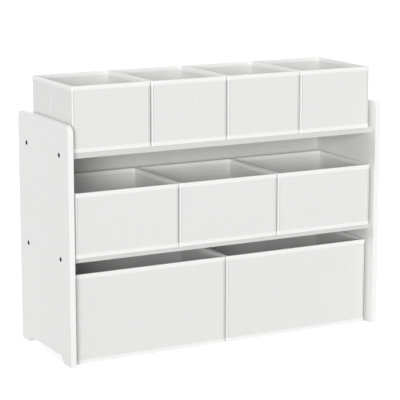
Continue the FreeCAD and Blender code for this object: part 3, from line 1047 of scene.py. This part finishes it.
    def sew_uprights(self, bm: bmesh.types.BMesh, bottom: float, top: float) -> None:
        """Sew the corner seams of every wall and the fold seams of the side walls.

        Args:
            bm: the mesh that collects the stitches.
            bottom: where the lines start.
            top: where they end.
        """
        low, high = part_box(f"{self.name}_cover")
        middle = (low.y + high.y) / 2
        for wall in WALLS:
            face = wall.face(low, high)
            groove = face - wall.way * self.seam_depth * self.stitch_sink
            lines = [(groove, low[wall.along] + self.seam_inset, wall.outwards),
                     (groove, high[wall.along] - self.seam_inset, wall.outwards)]
            if wall in SIDE_WALLS:
                lines += [(face - wall.way * self.fold_depth, middle, wall.outwards),
                          (face - wall.way * (self.wall - self.fold_depth), middle, -wall.outwards)]
            for plane, place, outwards in lines:
                self.sew(bm, wall.point(plane, place, bottom), wall.point(plane, place, top), outwards)

    def base_board(self) -> bpy.types.Object:
        """Build the loose cloth-covered board on the bin's floor.

        Returns:
            The piece that is shown instead of the plain board.
        """
        bm = bmesh.new()
        low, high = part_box(f"{self.name}_base_board")
        rounded(bm, uprights_of(add_block(bm, low, high)), self.corner_radius, self.corner_faces)
        rounded(bm, [edge for edge in bm.edges if turns_level(edge)], self.board_round,
                self.board_round_faces)
        return make_piece(f"{self.name}_covered_base_board", bm, self.finishes.board_cloth,
                          f"{self.name}_loose_board", (f"{self.name}_base_board",))

    def build(self) -> None:
        """Build and dress every piece of the bin."""
        self.cover()
        self.rim_binding()
        self.base_binding()
        self.stitching()
        self.base_board()
        dress_node(f"{self.name}_wall_boards", self.finishes.cardboard)


# ---- Studio ----

@dataclass(frozen=True)
class SoftLamp:
    """A large soft lamp far away: where it stands, and how wide it looks from the object."""

    name: str
    strength: float
    softness: float
    azimuth: float
    elevation: float

    def hang(self) -> None:
        """Put the lamp in the scene; azimuth 0 is the front, and more turns to the left."""
        lamp = bpy.data.lights.new(self.name, "SUN")
        lamp.energy = self.strength
        lamp.angle = math.radians(self.softness)
        hung = bpy.data.objects.new(self.name, lamp)
        hung.rotation_euler = (math.radians(90 - self.elevation), 0.0, math.radians(-self.azimuth))
        bpy.context.scene.collection.objects.link(hung)


@dataclass
class Studio:
    """The floor, the light and the camera."""

    aim: Vector = field(default_factory=lambda: Vector((-91 * MM, -160 * MM, 392 * MM)))
    distance: float = 4188 * MM
    azimuth: float = 27.90
    elevation: float = 11.57
    lens: float = 149.6
    floor_half_width: float = 40.0
    floor_colour: str = "#DCDCDC"
    floor_lift: float = 0.5
    white: str = "#FFFFFF"
    sky_strength: float = 0.46
    lamps: tuple[SoftLamp, ...] = (
        SoftLamp("low_front_softbox", strength=1.81, softness=22.0, azimuth=34.0, elevation=8.0),
        SoftLamp("high_left_softbox", strength=0.12, softness=60.0, azimuth=80.0, elevation=35.0),
        SoftLamp("high_rear_fill", strength=0.70, softness=90.0, azimuth=215.0, elevation=45.0))

    def seen_rays(self, owner: bpy.types.Material | bpy.types.World) -> bpy.types.NodeSocket:
        """Pick the rays that show the backdrop: straight to the camera, or by way of metal or glass.

        Args:
            owner: the material or world that asks.

        Returns:
            A socket that is 1 for those rays and 0 for the light that falls on the object.
        """
        path = add_node(owner, "ShaderNodeLightPath")
        mirrored = add_node(owner, "ShaderNodeMath", {0: path.outputs["Is Glossy Ray"],
                                                      1: path.outputs["Is Transmission Ray"]},
                            operation="MAXIMUM")
        seen = add_node(owner, "ShaderNodeMath", {0: path.outputs["Is Camera Ray"],
                                                  1: mirrored.outputs["Value"]}, operation="MAXIMUM")
        return seen.outputs["Value"]

    def floor(self) -> None:
        """Lay the pale floor, which looks white to the camera and keeps the object's shadow."""
        material = blank_material("studio_floor_matt_paint")
        plain = add_node(material, "ShaderNodeBsdfDiffuse", {"Color": linear(self.floor_colour)})
        white = add_node(material, "ShaderNodeBsdfDiffuse", {"Color": linear(self.white)})
        lift = add_node(material, "ShaderNodeEmission",
                        {"Color": linear(self.white), "Strength": self.floor_lift})
        shown = add_node(material, "ShaderNodeAddShader", {0: white.outputs["BSDF"],
                                                           1: lift.outputs["Emission"]})
        surface = add_node(material, "ShaderNodeMixShader", {0: self.seen_rays(material),
                                                             1: plain.outputs["BSDF"],
                                                             2: shown.outputs["Shader"]})
        add_node(material, "ShaderNodeOutputMaterial", {"Surface": surface.outputs["Shader"]})
        bm = bmesh.new()
        bmesh.ops.create_grid(bm, x_segments=1, y_segments=1, size=self.floor_half_width)
        mesh = bpy.data.meshes.new("studio_floor")
        bm.to_mesh(mesh)
        bm.free()
        mesh.materials.append(material)
        floor = bpy.data.objects.new("studio_floor", mesh)
        bpy.context.scene.collection.objects.link(floor)

    def light(self) -> None:
        """Light the object: an even white sky, soft lamps from the front and the left, a fill from behind."""
        world = bpy.data.worlds.new("studio_light")
        world.use_nodes = True
        world.node_tree.nodes.clear()
        # The backdrop shows at a strength of 1, which is plain white, whatever light the sky gives.
        strength = add_node(world, "ShaderNodeMix", {"Factor": self.seen_rays(world),
                                                     "A": self.sky_strength, "B": 1.0})
        sky = add_node(world, "ShaderNodeBackground", {"Color": linear(self.white),
                                                       "Strength": strength.outputs["Result"]})
        add_node(world, "ShaderNodeOutputWorld", {"Surface": sky.outputs["Background"]})
        bpy.context.scene.world = world
        for lamp in self.lamps:
            lamp.hang()

    def camera(self) -> None:
        """Put the camera to the left of the front and a little above, as in the photograph."""
        data = bpy.data.cameras.new("camera")
        data.lens = self.lens
        turn, rise = math.radians(self.azimuth), math.radians(self.elevation)
        back = Vector((-math.sin(turn) * math.cos(rise), -math.cos(turn) * math.cos(rise), math.sin(rise)))
        camera = bpy.data.objects.new("camera", data)
        camera.location = self.aim + back * self.distance
        camera.rotation_euler = (-back).to_track_quat("-Z", "Y").to_euler()
        bpy.context.scene.collection.objects.link(camera)
        bpy.context.scene.camera = camera

    def build(self) -> None:
        """Set up the floor, the light, the camera and the view."""
        self.floor()
        self.light()
        self.camera()
        bpy.context.scene.view_settings.view_transform = "Standard"


def main() -> None:
    """Build the organizer's looks in order."""
    logging.basicConfig(level=logging.INFO, format="%(message)s")
    finishes = Finishes()
    Carcass(finishes).build()
    names = sorted(node.removesuffix("_cover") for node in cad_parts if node.endswith("_cover"))
    for number, name in enumerate(names, start=1):
        FabricBin(name, number, finishes).build()
    Studio().build()


if __name__ == "__main__":
    main()
